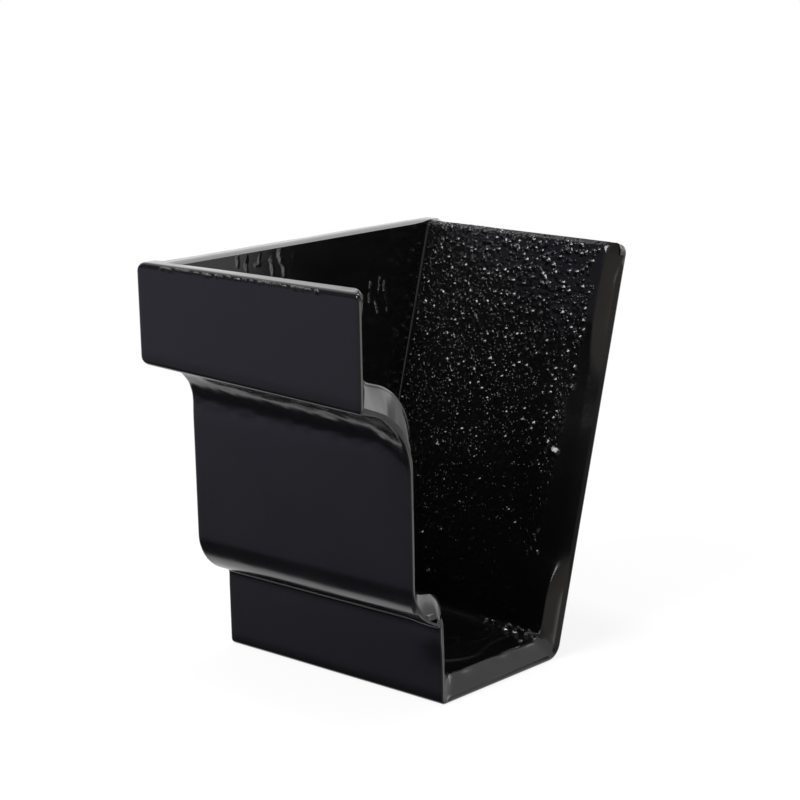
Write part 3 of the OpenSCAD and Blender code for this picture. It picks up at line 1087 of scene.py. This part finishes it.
# %% [markdown]
# ## Paint
#
# Cast-iron gutter is dipped or sprayed with thick gloss black. Such paint is never one flat tone: it has a fine orange
# peel, dries duller in some places than in others, and is glossier and gritty over sand. One node group makes this
# from the place on the casting and from the sand mask, and a second one adds the finest grains. Image textures would
# need an unwrapped skin and would blur close up.


# %% Node group: a coat of gloss paint
def node_group(name, outputs):
    """A group that takes the place on the piece and its sand mask, with its input and its output node."""
    made = bpy.data.node_groups.new(name, "ShaderNodeTree")
    for socket_name, kind in (("Place", "Vector"), ("Sand", "Float")):
        made.interface.new_socket(socket_name, in_out="INPUT", socket_type="NodeSocket" + kind)
    for socket_name, kind in outputs:
        made.interface.new_socket(socket_name, in_out="OUTPUT", socket_type="NodeSocket" + kind)
    return made, made.nodes.new("NodeGroupInput"), made.nodes.new("NodeGroupOutput")


PEEL_RISE, GRIT_RISE, SAND_GLOSS = 0.008, 0.02, 0.05
GLOSSY, DULL = 0.13, 0.19
BROWN_BLACK, BLUE_BLACK = (0.0014, 0.0013, 0.0012, 1), (0.0030, 0.0029, 0.0030, 1)
coat, given, made = node_group("gloss_coat", (("Color", "Color"), ("Roughness", "Float"), ("Height", "Float")))
peel = add(coat, "TexNoise", Scale=420.0, Detail=2.0)
grit = add(coat, "TexNoise", Scale=1700.0, Detail=2.0)
cloud = add(coat, "TexNoise", Scale=60.0, Detail=3.0)
for texture in (peel, grit, cloud):
    wire(coat, (given.outputs["Place"], texture.inputs["Vector"]))
grain = maths(coat, "MULTIPLY", maths(coat, "MULTIPLY", grit.outputs["Fac"], given.outputs["Sand"]), GRIT_RISE)
relief = maths(coat, "ADD", grain, maths(coat, "MULTIPLY", peel.outputs["Fac"], PEEL_RISE))
dull = ramp(coat, cloud.outputs["Fac"], 0.3, 0.7, GLOSSY, DULL)
dull = maths(coat, "SUBTRACT", dull, maths(coat, "MULTIPLY", given.outputs["Sand"], SAND_GLOSS))
tint = add(coat, "Mix", data_type="RGBA", A=BROWN_BLACK, B=BLUE_BLACK)
wire(coat, (cloud.outputs["Fac"], tint.inputs["Factor"]), (tint.outputs["Result"], made.inputs["Color"]),
     (dull, made.inputs["Roughness"]), (relief, made.inputs["Height"]))
print("node group", coat.name, "with", len(coat.nodes), "nodes")

# %% [markdown]
# A fine grain is a round dome in a Voronoi cell, as high as its reach allows at one slope, and cut off to flat outside
# it. A cell takes part by chance, often near the end plate and the rim and seldom near the sole and the mouth.

# %% Node group: fine grains of sand
CELL, GRAIN_SLOPE = 0.72, 0.75
grains, given, made = node_group("fine_grains", (("Height", "Float"),))
grain_cell = add(grains, "TexVoronoi", feature="F1", Scale=1 / (CELL * MM))
chance, level = add(grains, "SeparateColor"), add(grains, "SeparateXYZ")
wire(grains, (given.outputs["Place"], grain_cell.inputs["Vector"]), (given.outputs["Place"], level.inputs[0]),
     (grain_cell.outputs["Color"], chance.inputs["Color"]))
reach = ramp(grains, chance.outputs["Red"], 0.0, 1.0, 0.27, 0.56)
away = grain_cell.outputs["Distance"]
dome = maths(grains, "SUBTRACT", maths(grains, "MULTIPLY", reach, reach), maths(grains, "MULTIPLY", away, away))
dome = maths(grains, "DIVIDE", maths(grains, "MAXIMUM", dome, 0.0), reach)
grain_share = maths(grains, "MULTIPLY", ramp(grains, level.outputs["Z"], 0.0, 0.09, 0.12, 1.0),
                    ramp(grains, level.outputs["X"], -0.03, 0.03, 1.0, 0.35))
dome = maths(grains, "MULTIPLY", dome, maths(grains, "LESS_THAN", chance.outputs["Green"], grain_share))
dome = maths(grains, "MULTIPLY", maths(grains, "MULTIPLY", dome, given.outputs["Sand"]), CELL * GRAIN_SLOPE / 2)
wire(grains, (dome, made.inputs["Height"]))
print("node group", grains.name, "with", len(grains.nodes), "nodes")

# %% Black paint
paint = bpy.data.materials.new("black_paint")
paint.use_nodes = True
paint_tree = paint.node_tree
shader = paint_tree.nodes["Principled BSDF"]
shader.inputs["IOR"].default_value = 1.5
skin_coat = add(paint_tree, "Group", node_tree=coat)
fine_sand = add(paint_tree, "Group", node_tree=grains)
bump = add(paint_tree, "Bump", Strength=1.0, Distance=MM)
spot = add(paint_tree, "TexCoord").outputs["Object"]
sand_mask = add(paint_tree, "Attribute", attribute_name="sand").outputs["Fac"]
for group in (skin_coat, fine_sand):
    wire(paint_tree, (spot, group.inputs["Place"]), (sand_mask, group.inputs["Sand"]))
relief = maths(paint_tree, "ADD", skin_coat.outputs["Height"], fine_sand.outputs["Height"])
wire(paint_tree,
     (skin_coat.outputs["Color"], shader.inputs["Base Color"]),
     (skin_coat.outputs["Roughness"], shader.inputs["Roughness"]),
     (relief, bump.inputs["Height"]), (bump.outputs["Normal"], shader.inputs["Normal"]))
casting.data.materials.clear()
casting.data.materials.append(paint)
only(casting)
bpy.ops.object.shade_smooth_by_angle(angle=math.radians(65))
print("material", paint.name, "with", len(paint_tree.nodes), "nodes")

# %% Stand in for the CAD node and finish
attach(casting, "root")
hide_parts("stop_end")
